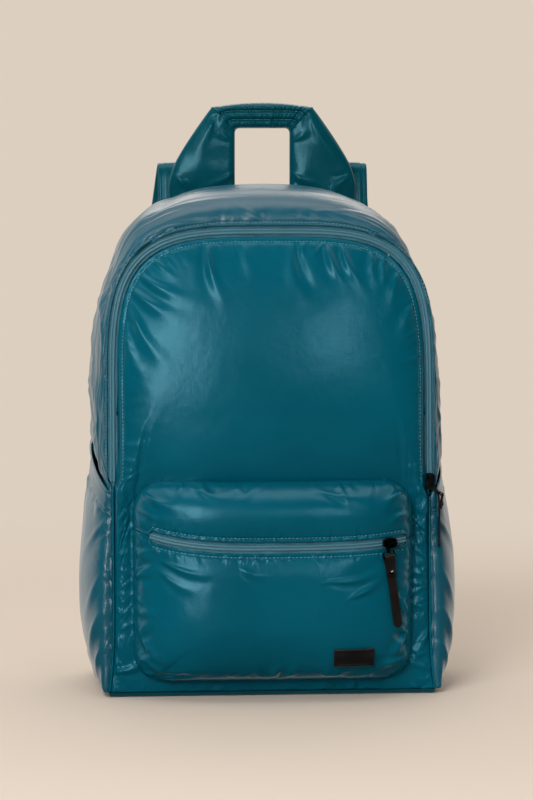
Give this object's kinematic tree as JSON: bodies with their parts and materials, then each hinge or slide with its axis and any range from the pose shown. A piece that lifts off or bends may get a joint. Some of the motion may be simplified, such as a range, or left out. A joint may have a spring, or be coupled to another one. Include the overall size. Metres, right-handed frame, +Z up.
{
  "type": "puffer backpack",
  "caption": "Standing padded backpack with a hollow main compartment under an arched zip, a puffed zipped front pocket, open side pockets, a top handle and padded shoulder straps.",
  "frame": {"origin": "middle of the flat base that it stands on", "axes": "+Z up, -Y towards the front with the pocket, +X to the right seen from the front"},
  "size_m": [0.3282, 0.2414, 0.512],
  "materials": {
    "nylon": "smooth coated nylon with a soft gloss",
    "lining": "plain woven nylon",
    "tape": "woven zip tape",
    "coil": "satin",
    "metal": "black satin",
    "leather": "smooth",
    "plastic": "matte"
  },
  "bodies": {
    "root": {"side_wall": "nylon", "front_panel": "nylon", "back_panel": "nylon", "pocket_lower_panel": "nylon", "pocket_upper_panel": "nylon", "side_pocket_left": "nylon", "side_pocket_right": "nylon", "handle_wing_left": "nylon", "handle_wing_right": "nylon", "handle_grip": "nylon", "shoulder_strap_left": "nylon", "shoulder_strap_right": "nylon", "strap_anchor_left": "nylon", "strap_anchor_right": "nylon", "base_panel": "lining", "strap_webbing_left": "lining", "strap_webbing_right": "lining", "main_zip_tape": "tape", "pocket_zip_tape": "tape", "main_zip_coil": "coil", "pocket_zip_coil": "coil", "main_slider": "metal", "main_link": "metal", "main_rivet": "metal", "pocket_slider": "metal", "pocket_link": "metal", "pocket_rivet": "metal", "main_puller": "leather", "pocket_puller": "leather", "label_patch": "leather", "strap_adjuster_left": "plastic", "strap_adjuster_right": "plastic"}
  },
  "joints": []
}
